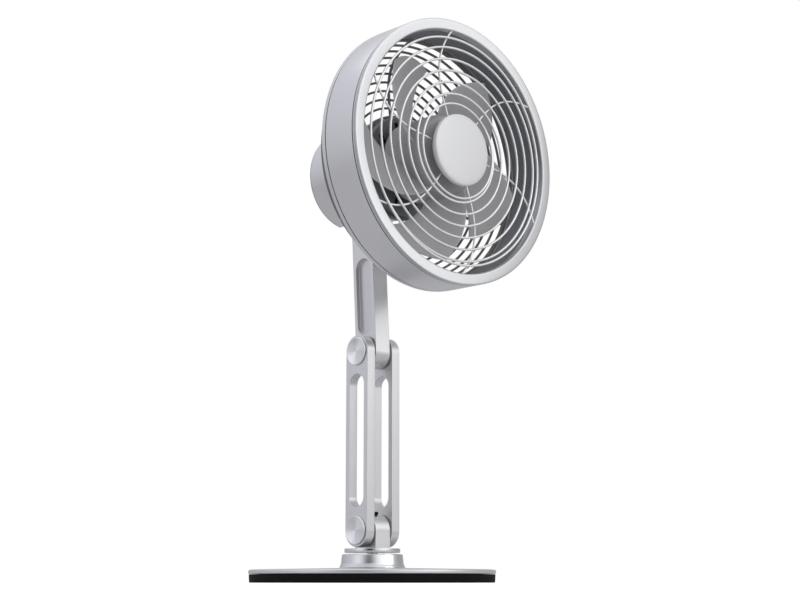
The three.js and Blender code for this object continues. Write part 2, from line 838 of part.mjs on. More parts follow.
function buttonSpring() {
  const wireRadius = 0.3;
  const coil = { radius: 2.6, turns: 3, from: board.from - GAP - wireRadius, rise: 1.6 };
  const helix = new HeadCurve(() => coil.radius, (t) => 360 * coil.turns * t, 0);
  const flat = helix.getPoint.bind(helix);
  helix.getPoint = (t) => flat(t).add(new THREE.Vector3(0, -coil.from + coil.rise * t, button.z));
  return wire(helix, wireRadius, 36);
}

function controlBoard() {
  const { from, to, half, low, high } = board;
  const sheet = box([-half, half], [-to, -from], [low, high]);
  const parts = [
    box([-13, -6], [-to - 1.6, -to + 0.5], [7, 14]),
    box([5, 12], [-to - 2.2, -to + 0.5], [18, 25]),
    box([-12, -8], [-to - 3, -to + 0.5], [19, 23]),
  ];
  return join(sheet, ...parts);
}

function chargeSocket() {
  const { wall, floor, front } = socket;
  const back = housing.capRear + 0.4;
  return cut(socketBlock(0, back, front), socketBlock(-wall, back - 1, front - floor));
}

node(fanHead, "motor_housing", motorHousing(), silverPaint);
node(fanHead, "rear_cap", rearCap(), silverPaint);
node(fanHead, "bulkhead", bulkheadBody(), darkPlastic);
node(fanHead, "motor_cover", motorCover(), darkPlastic);
node(fanHead, "motor_can", motorCan(), steel);
node(fanHead, "motor_bell", motorBell(), darkPlastic);
node(fanHead, "front_bearing", bearingRing(motor.front - bearing.length - GAP), brass);
node(fanHead, "rear_bearing", bearingRing(motor.back - GAP - bearing.length), brass);
for (const [side, sign] of sides) {
  const body = turnedHead(disc(cell.radius, cell.from, cell.to), 14);
  node(fanHead, "battery_cell_" + side, body.translate(sign * cell.x, 0, 0), cellWrap);
}
node(fanHead, "control_board", controlBoard(), boardGreen);
node(fanHead, "charge_socket", chargeSocket(), zincSteel);
node(fanHead, "power_button", powerButton(), darkPlastic);
node(fanHead, "button_spring", buttonSpring(), steel);

// ---- Impeller -----------------------------------------------------------------------------------

// A blade's edges run outwards along two spirals. Angles are in degrees from the blade's own direction.
const rearEdge = (r) => 3.6 - 0.8 * (r - impeller.hubRadius);
const frontEdge = (r) => 52.9 - 0.87 * (r - impeller.hubRadius);

function blade(direction) {
  const { hubRadius, tip, cornerCut, thickness, bladeFront, bladeRear } = impeller;
  const root = hubRadius - 1.4; // inside the hub's wall
  const { lerp } = THREE.MathUtils;
  const sheet = new THREE.BoxGeometry(1, 1, 1, 6, 4, 1).translate(0.5, 0.5, 0);
  const place = sheet.attributes.position;
  for (let i = 0; i < place.count; i += 1) {
    const [out, across, through] = [place.getX(i), place.getY(i), place.getZ(i)];
    const r = lerp(root, tip - cornerCut * (1 - across) ** 2, out);
    const degrees = direction + lerp(rearEdge(r), frontEdge(r), across);
    const s = lerp(bladeRear, bladeFront, across) + thickness * through;
    place.setXYZ(i, ...headPoint(r, degrees, s));
  }
  return sheet;
}

function impellerBody() {
  const { hubRadius, hubWall, hubFront, hubBack, boss, bossBack, blades, angle } = impeller;
  const bore = motor.shaft + GAP;
  const inside = hubRadius - hubWall;
  const hub = turnedHead(
    [
      [bore, hubFront],
      [hubRadius - 5, hubFront],
      [hubRadius, hubFront - 5],
      [hubRadius, hubBack],
      [inside, hubBack],
      [inside, hubFront - 5.5],
      [inside - 3.5, hubFront - 3],
      [boss, hubFront - 3],
      [boss, bossBack],
      [bore, bossBack],
    ],
    28,
  );
  const vanes = Array.from({ length: blades }, (_, i) => blade(angle + (360 * i) / blades));
  return join(hub, ...vanes);
}

const shaftProfile = disc(motor.shaft, motor.back - 3, impeller.hubFront + 4.5);
node(fanHead, "motor_shaft", turnedHead(shaftProfile, 12), steel);
const rotor = tube(motor.shaft + GAP, motor.rotorRadius, motor.rotorFrom, motor.rotorTo);
node(fanHead, "motor_rotor", turnedHead(rotor, 16), copper);
node(fanHead, "impeller", impellerBody(), greyPlastic);
const nut = tube(motor.shaft + GAP, 5, impeller.hubFront + GAP, impeller.hubFront + 4);
node(fanHead, "impeller_nut", turnedHead(nut, 6), darkPlastic);

export default group;
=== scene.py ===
"""A desk fan on a folding stand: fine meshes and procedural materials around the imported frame.

Everything is in metres in the frame's own axes: +Z up, the fan faces -Y, the arm's hinges turn about X.
Sizes of small features are written in millimetres. Big ones come from the boxes of the frame's nodes.
Places in the head are given as s, the distance in front of the bezel's face along the fan's axis.
"""
from math import acos, cos, hypot, pi, radians, sin

import bmesh
import bpy
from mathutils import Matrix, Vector


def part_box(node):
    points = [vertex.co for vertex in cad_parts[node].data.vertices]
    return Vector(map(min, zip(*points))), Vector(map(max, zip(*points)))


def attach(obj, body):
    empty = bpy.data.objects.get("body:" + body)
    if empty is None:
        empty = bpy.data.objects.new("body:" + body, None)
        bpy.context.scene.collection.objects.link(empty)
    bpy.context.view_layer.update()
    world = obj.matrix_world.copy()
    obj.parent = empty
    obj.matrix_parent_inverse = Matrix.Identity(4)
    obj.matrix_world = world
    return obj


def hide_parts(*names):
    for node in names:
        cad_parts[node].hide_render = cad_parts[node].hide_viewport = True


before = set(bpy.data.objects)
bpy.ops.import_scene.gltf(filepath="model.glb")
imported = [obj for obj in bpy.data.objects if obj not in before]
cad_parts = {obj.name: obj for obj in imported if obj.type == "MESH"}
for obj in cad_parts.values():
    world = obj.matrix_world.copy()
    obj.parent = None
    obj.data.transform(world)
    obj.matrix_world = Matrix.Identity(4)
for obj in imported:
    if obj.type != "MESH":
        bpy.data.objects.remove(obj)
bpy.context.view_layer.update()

MM = 0.001
STEPS = 160  # round the large lathed pieces


# ---- Camera -------------------------------------------------------------------------------------


def place_camera():
    """Level with the desk, to the left of the fan's front, looking slightly up."""
    turn, rise = radians(42.42), radians(10.33)
    forward = Vector((sin(turn) * cos(rise), cos(turn) * cos(rise), sin(rise)))
    data = bpy.data.cameras.new("camera")
    data.sensor_width = 36
    data.lens = 69.13
    data.clip_start = 0.01
    camera = bpy.data.objects.new("camera", data)
    camera.location = (-0.7936, -0.9001, 0.002)
    camera.rotation_euler = forward.to_track_quat("-Z", "Y").to_euler()
    bpy.context.scene.collection.objects.link(camera)
    bpy.context.scene.camera = camera


place_camera()


# ---- Frames of reference ------------------------------------------------------------------------


def low_high(node):
    low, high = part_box(node)
    return low / MM, high / MM


def radius_of(node):
    low, high = low_high(node)
    return (high.x - low.x) / 2


def heights(node):
    low, high = low_high(node)
    return low.z, high.z


bezel_low, bezel_high = low_high("front_bezel")
HEAD = Vector((0, bezel_low.y, (bezel_low.z + bezel_high.z) / 2))


def along(node):
    """Where a node of the head starts and ends, as s."""
    low, high = low_high(node)
    return HEAD.y - high.y, HEAD.y - low.y


def middle(node):
    low, high = low_high(node)
    return (low + high) / 2


def about_head(r, a, s):
    return MM * (HEAD + Vector((r * cos(a), -s, r * sin(a))))


def about_base(r, a, z):
    return MM * Vector((r * cos(a), r * sin(a), z))


def about_x(y, z):
    """Places round an axis parallel to X through (y, z)."""
    return lambda r, a, x: MM * Vector((x, y + r * cos(a), z + r * sin(a)))


def beside_head(x, z):
    """Places round an axis parallel to the fan's, x and z away from it."""
    return lambda r, a, s: MM * (HEAD + Vector((x + r * cos(a), -s, z + r * sin(a))))


# ---- Mesh building ------------------------------------------------------------------------------


def set_shading(mesh, sharp):
    mesh.shade_smooth()
    mesh.set_sharp_from_angle(angle=radians(sharp))


def solid(name, points, faces, material=None, sharp=32):
    """A closed mesh with its faces turned outwards and its hard edges kept."""
    mesh = bpy.data.meshes.new(name)
    mesh.from_pydata(points, [], faces)
    bm = bmesh.new()
    bm.from_mesh(mesh)
    bmesh.ops.remove_doubles(bm, verts=bm.verts, dist=1e-7)
    bmesh.ops.recalc_face_normals(bm, faces=bm.faces)
    bm.to_mesh(mesh)
    bm.free()
    set_shading(mesh, sharp)
    if material:
        mesh.materials.append(material)
    piece = bpy.data.objects.new(name, mesh)
    bpy.context.scene.collection.objects.link(piece)
    return piece


def rounded(corners, steps=4):
    """A profile from (radius, height) corners; a third number is the size of that corner's fillet."""
    path = []
    for k, (r, h, *fillet) in enumerate(corners):
        here = Vector((r, h))
        if not fillet:
            path.append((r, h))
            continue
        before = Vector(corners[k - 1][:2]) - here
        after = Vector(corners[(k + 1) % len(corners)][:2]) - here
        reach = min(fillet[0], before.length * 0.49, after.length * 0.49)
        start = here + before.normalized() * reach
        end = here + after.normalized() * reach
        for i in range(steps + 1):
            t = i / steps
            path.append(tuple(start * (1 - t) ** 2 + here * 2 * t * (1 - t) + end * t * t))
    return path


def turned(name, profile, place, material=None, steps=STEPS, sharp=32):
    """A solid of revolution. The profile starts and ends on the axis, or closes on itself as a ring."""
    points, rings = [], []
    for r, h in profile:
        count = 1 if r < 1e-6 else steps
        rings.append([len(points) + i for i in range(count)])
        points += [place(r, 2 * pi * i / steps, h) for i in range(count)]
    pairs = list(zip(rings, rings[1:] + rings[:1]))
    faces = []
    for a, b in pairs:
        if len(a) == len(b) == 1:
            continue
        for i in range(steps):
            j = (i + 1) % steps
            corners = [a[i % len(a)], a[j % len(a)], b[j % len(b)], b[i % len(b)]]
            faces.append(list(dict.fromkeys(corners)))
    return solid(name, points, faces, material, sharp)


def loft(name, outlines, material=None, sharp=32):
    """A closed skin through outlines that have the same number of points."""
    count = len(outlines[0])
    points = [p for outline in outlines for p in outline]
    faces = []
    for k in range(len(outlines) - 1):
        for i in range(count):
            j = (i + 1) % count
            faces.append([k * count + i, k * count + j, (k + 1) * count + j, (k + 1) * count + i])
    last = (len(outlines) - 1) * count
    faces.append(list(range(count)))
    faces.append(list(range(last, last + count)))
    return solid(name, points, faces, material, sharp)


def wire_loops(path, radius, sides, closed):
    """The rings of points of a round wire that lies across the fan's axis."""
    loops = []
    axis = Vector((0, 1, 0))
    count = len(path)
    for k, p in enumerate(path):
        ahead = path[(k + 1) % count] if closed else path[min(k + 1, count - 1)]
        behind = path[k - 1] if closed else path[max(k - 1, 0)]
        across = (ahead - behind).normalized().cross(axis).normalized()
        turns = (2 * pi * i / sides for i in range(sides))
        loops.append([p + radius * MM * (across * cos(a) + axis * sin(a)) for a in turns])
    return loops


def wire(name, path, radius, material, sides=12, closed=False):
    loops = wire_loops(path, radius, sides, closed)
    if not closed:
        return loft(name, loops, material, 60)
    points = [p for loop in loops for p in loop]
    faces = []
    for k in range(len(loops)):
        n = (k + 1) % len(loops)
        for i in range(sides):
            j = (i + 1) % sides
            faces.append([k * sides + i, k * sides + j, n * sides + j, n * sides + i])
    return solid(name, points, faces, material, 60)


def obround(half, z0, z1, steps=24):
    """A bar's outline with round ends at heights z0 and z1, as (y, z) points."""
    top = [(half * cos(pi * i / steps), z1 + half * sin(pi * i / steps)) for i in range(steps + 1)]
    bottom = [(-y, z0 - (z - z1)) for y, z in top]
    return top + bottom


def edge_round(face, outwards, size, steps=4):
    """Stations (x, inset) that round a plate's edge off into the face at x = face."""
    turns = [pi / 2 * i / steps for i in range(steps + 1)]
    return [(face - outwards * size * (1 - sin(a)), size * (1 - cos(a))) for a in turns]


def bar(name, half, z0, z1, stations, material=None, tilt=0.0, pivot=(0, 0)):
    """A round-ended bar across X, shrunk by each station's inset, leaning back by tilt about its pivot."""
    lean = (cos(tilt), sin(tilt))
    outlines = []
    for x, inset in stations:
        outline = []
        for y, z in obround(half - inset, z0, z1):
            swung = (y * lean[0] + z * lean[1], z * lean[0] - y * lean[1])
            outline.append(MM * Vector((x, pivot[0] + swung[0], pivot[1] + swung[1])))
        outlines.append(outline)
    return loft(name, outlines, material)


def bar_stations(x0, x1, size):
    return edge_round(x0, -1, size)[::-1] + edge_round(x1, 1, size)


def hole_stations(x0, x1, size):
    """A cutter's stations: it flares at both faces, so that the hole's edges come out rounded."""
    flare = ((x0 - 1, size + 1), (x0, size), (x0 + size * 0.3, size * 0.35), (x0 + size, 0))
    lip = [(x, -inset) for x, inset in flare]
    return lip + [(x0 + x1 - x, inset) for x, inset in reversed(lip)]


def carve(piece, *cutters, operation="DIFFERENCE", sharp=32):
    """Cuts the cutters out of a piece and removes them."""
    material = piece.data.materials[0] if piece.data.materials else None
    for cutter in cutters:
        change = piece.modifiers.new("carve", "BOOLEAN")
        change.operation = operation
        change.solver = "EXACT"
        change.object = cutter
    bpy.context.view_layer.update()
    result = bpy.data.meshes.new_from_object(piece.evaluated_get(bpy.context.evaluated_depsgraph_get()))
    piece.modifiers.clear()
    piece.data = result
    result.materials.clear()
    if material:
        result.materials.append(material)
    for cutter in cutters:
        bpy.data.objects.remove(cutter)
    set_shading(result, sharp)
    even = piece.modifiers.new("even_normals", "WEIGHTED_NORMAL")
    even.keep_sharp = True
    return piece


def merge(name, pieces):
    """One object from several; the pieces keep their own closed shells."""
    bm = bmesh.new()
    for piece in pieces:
        bm.from_mesh(piece.data)
    mesh = bpy.data.meshes.new(name)
    bm.to_mesh(mesh)
    bm.free()
    for material in pieces[0].data.materials:
        mesh.materials.append(material)
    for piece in pieces:
        bpy.data.objects.remove(piece)
    merged = bpy.data.objects.new(name, mesh)
    bpy.context.scene.collection.objects.link(merged)
    return merged


def fit(piece, body, slot, *nodes):
    """The piece rides on a body and stands for CAD nodes, which are hidden; slot is not used."""
    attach(piece, body)
    if nodes:
        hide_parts(*nodes)
    return piece


# ---- Material building --------------------------------------------------------------------------


class Tree:
    """A short way to add nodes: each call adds one and feeds its inputs with values or sockets."""

    def __init__(self, tree):
        self.tree = tree

    def feed(self, socket, value):
        if isinstance(value, bpy.types.NodeSocket):
            self.tree.links.new(value, socket)
        else:
            socket.default_value = value

    def add(self, kind, values, **settings):
        node = self.tree.nodes.new("ShaderNode" + kind)
        for key, value in settings.items():
            setattr(node, key, value)
        for key, value in values.items():
            self.feed(node.inputs[key], value)
        return node

    def math(self, operation, a, b=0.0):
        return self.add("Math", {0: a, 1: b}, operation=operation).outputs[0]

    def noise(self, vector, scale, detail=3.0):
        values = {"Vector": vector, "Scale": scale, "Detail": detail}
        return self.add("TexNoise", values).outputs["Fac"]

    def mix(self, factor, a, b):
        return self.add("MixRGB", {"Fac": factor, "Color1": a, "Color2": b}).outputs["Color"]

    def remap(self, value, low, high, to_low, to_high):
        values = {"Value": value, "From Min": low, "From Max": high, "To Min": to_low, "To Max": to_high}
        return self.add("MapRange", values).outputs["Result"]

    def scaled(self, vector, factors):
        values = {"Vector": vector, "Scale": factors}
        return self.add("Mapping", values).outputs["Vector"]


def rgb(red, green=None, blue=None):
    return (red, red if green is None else green, red if blue is None else blue, 1.0)


def lighter(colour, by):
    return tuple(min(1.0, c * by) for c in colour[:3]) + (1.0,)


def grain(scale, detail=3.0):
    """An even, fine grain, as of a blasted or moulded surface."""
    return lambda tree, place: tree.noise(place, scale, detail)


def brushed(stretch, scale):
    """Long fine scratches: the noise is squeezed along the axes where stretch is small."""
    return lambda tree, place: tree.noise(tree.scaled(place, stretch), scale, 4.0)


def ringed(centre, keep, scale):
    """Turning marks: a noise that depends only on the distance from an axis through centre."""

    def pattern(tree, place):
        offset = tree.add("VectorMath", {0: place, 1: centre}, operation="SUBTRACT").outputs["Vector"]
        flat = tree.add("VectorMath", {0: offset, 1: keep}, operation="MULTIPLY").outputs["Vector"]
        distance = tree.add("VectorMath", {0: flat}, operation="LENGTH").outputs["Value"]
        values = {"W": distance, "Scale": scale, "Detail": 4.0}
        return tree.add("TexNoise", values, noise_dimensions="1D").outputs["Fac"]

    return pattern


def surface(name, colour, rough, metallic, pattern, depth, cloud, spread, wear, shine=None):
    """A material with cloudy colour, a fine pattern in bump and roughness, and edges worn paler.

    depth is the pattern's height in mm; cloud is (scale, share) of the slow change of colour; spread is
    how far roughness varies; wear is how much paler edges are; shine sets sockets of the shader.
    """
    material = bpy.data.materials.new(name)
    material.use_nodes = True
    tree = Tree(material.node_tree)
    shader = material.node_tree.nodes["Principled BSDF"]
    place = tree.add("TexCoord", {}).outputs["Object"]
    fine = pattern(tree, place)
    scale, share = cloud
    slow = tree.noise(place, scale, 4.0)
    dark, pale = lighter(colour, 1 - share / 2), lighter(colour, 1 + share / 2)
    tone = tree.mix(tree.remap(slow, 0.3, 0.7, 0, 1), dark, pale)
    tone = tree.mix(tree.remap(fine, 0.35, 0.65, 0, 0.35), tone, lighter(colour, 1 - share))
    point = tree.add("NewGeometry", {}).outputs["Pointiness"]
    edge = tree.remap(point, 0.51, 0.58, 0, 0.7)
    tree.feed(shader.inputs["Base Color"], tree.mix(edge, tone, lighter(colour, wear)))
    varied = tree.math("ADD", tree.remap(fine, 0.3, 0.7, rough - spread / 2, rough + spread / 2),
                       tree.remap(slow, 0.3, 0.7, -spread / 3, spread / 3))
    tree.feed(shader.inputs["Roughness"], varied)
    bump = tree.add("Bump", {"Height": fine, "Distance": depth * MM, "Strength": 1.0})
    tree.feed(shader.inputs["Normal"], bump.outputs["Normal"])
    shader.inputs["Metallic"].default_value = metallic
    for key, value in (shine or {}).items():
        shader.inputs[key].default_value = value
    return material


def radial_tangent(material, axis):
    """Turns the stretched highlight of a spun face round its axis."""
    tree = Tree(material.node_tree)
    tangent = tree.add("Tangent", {}, direction_type="RADIAL", axis=axis)
    tree.feed(material.node_tree.nodes["Principled BSDF"].inputs["Tangent"], tangent.outputs["Tangent"])


def paint_fan_highlight(material, centre):
    """Painted highlight: paler and darker wedges drawn into the base colour round an axis parallel to X,
    standing in for the sheen of a faced and spun cap.
    """
    tree = Tree(material.node_tree)
    shader = material.node_tree.nodes["Principled BSDF"]
    tone = shader.inputs["Base Color"].links[0].from_socket
    place = tree.add("TexCoord", {}).outputs["Object"]
    offset = tree.add("VectorMath", {0: place, 1: centre}, operation="SUBTRACT").outputs["Vector"]
    parts = tree.add("SeparateXYZ", {"Vector": offset}).outputs
    angle = tree.math("ARCTAN2", parts["Z"], parts["Y"])
    wedge = tree.math("SINE", tree.math("MULTIPLY", angle, 2.0))
    share = tree.remap(wedge, -0.9, 0.3, 0.0, 1.0)
    # the pale colour of the painted highlight wedges
    pale = rgb(0.92, 0.925, 0.935)
    tree.feed(shader.inputs["Base Color"], tree.mix(share, pale, tone))


# ---- Materials ----------------------------------------------------------------------------------

BASE_CENTRE = (0, 0, 0)
ROUND_Z = (1, 1, 0)
HEAD_CENTRE = tuple(HEAD * MM)
ROUND_Y = (1, 0, 1)
ROUND_X = (0, 1, 1)


def turned_x(node):
    """Turning marks round the middle of a node whose axis is parallel to X."""
    return ringed(tuple(middle(node) * MM), ROUND_X, 1400)


rubber = surface(
    "rubber", rgb(0.0055, 0.0057, 0.006),
    rough=0.8, metallic=0, pattern=grain(2600), depth=0.05,
    cloud=(60, 0.5), spread=0.12, wear=1.9, shine={"Specular IOR Level": 0.12},
)
satin = surface(
    "satin_aluminium", rgb(0.64, 0.642, 0.648),
    rough=0.35, metallic=0.85, pattern=grain(3800), depth=0.006,
    cloud=(12, 0.05), spread=0.06, wear=1.14,
)
brushed_top = surface(
    "brushed_aluminium", rgb(0.62, 0.625, 0.635),
    rough=0.36, metallic=0.9, pattern=ringed(BASE_CENTRE, ROUND_Z, 900), depth=0.01,
    cloud=(14, 0.05), spread=0.12, wear=1.12, shine={"Anisotropic": 0.5},
)
spun = surface(
    "spun_aluminium", rgb(0.64, 0.645, 0.655),
    rough=0.14, metallic=1.0, pattern=brushed((1, 1, 60), 60), depth=0.004,
    cloud=(14, 0.05), spread=0.08, wear=1.1, shine={"Anisotropic": 0.4},
)
bezel_metal = surface(
    "bezel_aluminium", rgb(0.56, 0.565, 0.575),
    rough=0.32, metallic=0.95, pattern=ringed(HEAD_CENTRE, ROUND_Y, 1500), depth=0.003,
    cloud=(12, 0.04), spread=0.05, wear=1.1, shine={"Anisotropic": 0.9},
)
shell_paint = surface(
    "silver_shell_paint", rgb(0.61, 0.61, 0.622),
    rough=0.34, metallic=0.75, pattern=grain(2200), depth=0.006,
    cloud=(9, 0.06), spread=0.06, wear=1.14, shine={"Coat Weight": 0.25, "Coat Roughness": 0.25},
)
wire_metal = surface(
    "grille_wire", rgb(0.72, 0.725, 0.73),
    rough=0.3, metallic=0.6, pattern=grain(2400), depth=0.008,
    cloud=(40, 0.06), spread=0.08, wear=1.08,
)
dark_plastic = surface(
    "dark_plastic", rgb(0.055, 0.057, 0.062),
    rough=0.5, metallic=0, pattern=grain(2600), depth=0.03,
    cloud=(30, 0.2), spread=0.12, wear=1.5,
)
duct_plastic = surface(
    "duct_plastic", rgb(0.19, 0.196, 0.208),
    rough=0.46, metallic=0, pattern=grain(2600), depth=0.03,
    cloud=(24, 0.16), spread=0.1, wear=1.3,
)
guard_plastic = surface(
    "guard_plastic", rgb(0.16, 0.155, 0.15),
    rough=0.45, metallic=0, pattern=grain(2600), depth=0.02,
    cloud=(24, 0.16), spread=0.1, wear=1.3,
)
cap_paint = surface(
    "hub_cap_paint", rgb(0.68, 0.683, 0.69),
    rough=0.42, metallic=0.2, pattern=ringed(HEAD_CENTRE, ROUND_Y, 1100), depth=0.003,
    cloud=(20, 0.04), spread=0.05, wear=1.08,
)
blade_plastic = surface(
    "blade_plastic", rgb(0.41, 0.402, 0.412),
    rough=0.5, metallic=0, pattern=grain(1900), depth=0.02,
    cloud=(18, 0.08), spread=0.1, wear=1.25,
)
steel = surface(
    "steel", rgb(0.42, 0.43, 0.45),
    rough=0.32, metallic=1.0, pattern=grain(900), depth=0.01,
    cloud=(40, 0.12), spread=0.14, wear=1.2,
)
cast_iron = surface(
    "cast_iron", rgb(0.05, 0.05, 0.053),
    rough=0.7, metallic=0.6, pattern=grain(420, 6), depth=0.2,
    cloud=(30, 0.3), spread=0.14, wear=1.6,
)
zinc = surface(
    "zinc_steel", rgb(0.55, 0.57, 0.6),
    rough=0.3, metallic=1.0, pattern=grain(1200), depth=0.012,
    cloud=(70, 0.14), spread=0.12, wear=1.2,
)
brass = surface(
    "brass", rgb(0.56, 0.36, 0.11),
    rough=0.33, metallic=1.0, pattern=grain(900), depth=0.01,
    cloud=(40, 0.12), spread=0.1, wear=1.25,
)
copper = surface(
    "copper", rgb(0.48, 0.2, 0.1),
    rough=0.38, metallic=1.0, pattern=brushed((1, 14, 1), 500), depth=0.06,
    cloud=(40, 0.15), spread=0.12, wear=1.3,
)
nylon = surface(
    "nylon", rgb(0.74, 0.72, 0.66),
    rough=0.5, metallic=0, pattern=grain(1600), depth=0.02,
    cloud=(40, 0.06), spread=0.1, wear=1.1,
)
cell_wrap = surface(
    "cell_wrap", rgb(0.03, 0.14, 0.33),
    rough=0.36, metallic=0, pattern=grain(700), depth=0.02,
    cloud=(40, 0.12), spread=0.1, wear=1.3,
)
board = surface(
    "circuit_board", rgb(0.015, 0.1, 0.045),
    rough=0.42, metallic=0, pattern=grain(1300), depth=0.02,
    cloud=(120, 0.3), spread=0.12, wear=1.4,
)
radial_tangent(spun, "Z")
radial_tangent(brushed_top, "Z")
radial_tangent(bezel_metal, "Y")


# ---- Base and turntable -------------------------------------------------------------------------


def make_base_pad():
    r = radius_of("base_pad")
    low, high = heights("base_pad")
    inner = radius_of("base_weight") + 0.3
    floor = heights("base_weight")[0] - 0.3
    profile = rounded([
        (0, low), (r - 6, low), (r - 5.4, low + 0.5), (r - 3.6, low + 0.5), (r - 3, low),
        (r - 0.3, low, 0.6), (r, high, 0.25), (inner, high), (inner, floor), (0, floor),
    ])
    fit(turned("base_pad.fine", profile, about_base, rubber), "base", "black_rubber", "base_pad")


def make_base_plate():
    r, bore = radius_of("base_plate"), radius_of("swivel_bolt") - 3.7
    low, top = heights("base_plate")
    profile = rounded([
        (bore, low), (r - 0.3, low, 0.3), (r, low + 0.4, 0.3), (r, top - 1.5, 0.9),
        (r - 2.6, top - 1.05, 1.6), (27, top, 8), (bore, top),
    ], 6)
    piece = turned("base_plate.fine", profile, about_base, brushed_top, 200)
    fit(piece, "base", "brushed_aluminium", "base_plate")


def make_base_collar():
    foot = radius_of("base_collar")
    low, top = heights("base_collar")
    waist, shoulder, wall, bore = foot - 1.3, foot - 2.1, 3.4, 4.3
    profile = rounded([
        (foot - wall, low), (foot, low), (foot - 0.2, low + 0.6, 0.3), (waist, low + 2.6, 1.4),
        (shoulder, top - 0.3, 0.5), (shoulder - 1, top, 0.4), (bore, top), (bore, top - wall),
        (foot - wall - 2, top - wall),
    ], 5)
    piece = turned("base_collar.fine", profile, about_base, spun, 128)
    fit(piece, "base", "spun_aluminium", "base_collar")


def make_turntable():
    low, high = low_high("turntable")
    r = (high.x - low.x) / 2
    floor, lug_radius = low.z, 12.3
    pivot_z = high.z - lug_radius
    deck = floor + 3.2
    flange = turned("turntable.fine", rounded([
        (0, floor), (r, floor, 0.35), (r, deck, 0.35), (0, deck),
    ], 5), about_base, spun, 128)
    half = 7.4
    outlines = []
    for x, inset in bar_stations(-half, half, 0.45):
        ring = obround(lug_radius - inset, pivot_z, pivot_z)[:25]
        ring += [(-lug_radius + inset, deck - 1), (lug_radius - inset, deck - 1)]
        outlines.append([MM * Vector((x, y, z)) for y, z in ring])
    lug = loft("lug", outlines, satin)
    pin_hole = turned("pin_hole", [(0, -20), (4.3, -20), (4.3, 20), (0, 20)], about_x(0, pivot_z), steps=40)
    carve(lug, pin_hole)
    fit(flange, "turntable", "spun_aluminium", "turntable")
    lug.name = "turntable_lug"
    fit(lug, "turntable", "satin_aluminium")


def make_bumper():
    y = middle("fold_bumper").y
    low, top = heights("fold_bumper")
    r = radius_of("fold_bumper")
    skin = top - 2.1
    place = lambda radius, a, z: MM * Vector((radius * cos(a), y + radius * sin(a), z))
    profile = rounded([(0, low), (1.2, low), (1.2, skin), (r, skin, 0.2), (r, top, 0.9), (0, top)])
    piece = turned("fold_bumper.fine", profile, place, rubber, 48)
    fit(piece, "turntable", "black_rubber", "fold_bumper")


make_base_pad()
make_base_plate()
make_base_collar()
make_turntable()
make_bumper()


# ---- Links and arm ------------------------------------------------------------------------------

lower_z = middle("lower_pin").z
elbow_z = middle("elbow_pin").z
PIN_HOLE = 4.3


def pin_hole(y, z, radius=PIN_HOLE):
    return turned("pin_hole", [(0, -30), (radius, -30), (radius, 30), (0, 30)], about_x(y, z), steps=40)


def make_link(side):
    node = side + "_link"
    low, high = low_high(node)
    half = (high.y - low.y) / 2
    slot_half, slot_length = 8.25, 103
    middle_z = (lower_z + elbow_z) / 2
    reach = slot_length / 2 - slot_half
    piece = bar(node + ".fine", half, lower_z, elbow_z, bar_stations(low.x, high.x, 0.55), satin)
    window = bar("window", slot_half, middle_z - reach, middle_z + reach, hole_stations(low.x, high.x, 0.4))
    carve(piece, window, pin_hole(0, lower_z), pin_hole(0, elbow_z))
    fit(piece, "lower_arm", "satin_aluminium", node)


def make_pin_cap(joint, side, sign):
    node = f"{joint}_pin_cap_{side}"
    low, high = low_high(node)
    place = middle(node)
    r = (high.z - low.z) / 2
    face, back = (low.x, high.x) if sign < 0 else (high.x, low.x)
    inwards = -sign
    profile = rounded([
        (0, back), (r, back), (r, face + inwards * 0.1, 0.25), (r - 0.7, face, 0.2),
        (r - 1, face + inwards * 0.12), (0.5, face + inwards * 0.42, 0.3), (0, face + inwards * 0.5),
    ], 3)
    # The caps' material has real turning marks plus painted highlight wedges drawn into its colour.
    marks = surface(
        node + "_turned", rgb(0.68, 0.685, 0.70),
        rough=0.24, metallic=1.0, pattern=turned_x(node), depth=0.002,
        cloud=(30, 0.05), spread=0.06, wear=1.1, shine={"Anisotropic": 0.9},
    )
    radial_tangent(marks, "X")
    # Painted highlight: fixed pale and dark wedges drawn into the caps' base colour.
    paint_fan_highlight(marks, tuple(place * MM))
    piece = turned(node + ".fine", profile, about_x(place.y, place.z), marks, 96)
    fit(piece, "lower_arm", "spun_aluminium", node)


def make_upper_arm():
    low, high = low_high("upper_arm")
    pivot = middle("tilt_pin")
    reach, rise = pivot.y, pivot.z - elbow_z
    length = hypot(reach, rise)
    lean = acos(rise / length)
    half_width = 12
    hub = (0, elbow_z)
    piece = bar("upper_arm.fine", half_width, 0, length, bar_stations(low.x, high.x, 0.6), satin, lean, hub)
    pocket_half, pocket_from, pocket_to, floor = 8.65, 14, 76, 4.0
    pockets = []
    for sign in (-1, 1):
        face = sign * high.x
        stations = [
            (sign * floor, 0.8), (sign * (floor + 0.25), 0.25), (sign * (floor + 0.8), 0),
            (face - sign * 0.4, 0), (face - sign * 0.12, -0.14), (face, -0.4), (face + sign, -1.4),
        ]
        ends = (pocket_from + pocket_half, pocket_to - pocket_half)
        pockets.append(bar("pocket", pocket_half, *ends, stations, None, lean, hub))
    carve(piece, *pockets, pin_hole(0, elbow_z), pin_hole(pivot.y, pivot.z, 3.3))
    fit(piece, "upper_arm", "satin_aluminium", "upper_arm")


for side, sign in (("left", -1), ("right", 1)):
    make_link(side)
    make_pin_cap("lower", side, sign)
    make_pin_cap("elbow", side, sign)
make_upper_arm()


# ---- Drum ---------------------------------------------------------------------------------------

MOUTH, BORE, LINER = 94.3, 96.2, 97.9
drum_radius = radius_of("front_bezel")
BEZEL_DEPTH = 4
LIP = 0.3  # how far each piece stands back from a joint of the drum, so that the joint shows as a dark line


def joint_seal(s):
    """A dark ring at the bottom of a joint of the drum."""
    outer = drum_radius - 0.9
    profile = rounded([(outer - 1.2, s - 1), (outer, s - 1), (outer, s + 1), (outer - 1.2, s + 1)])
    return turned("joint_seal", profile, about_head, rubber, 220)


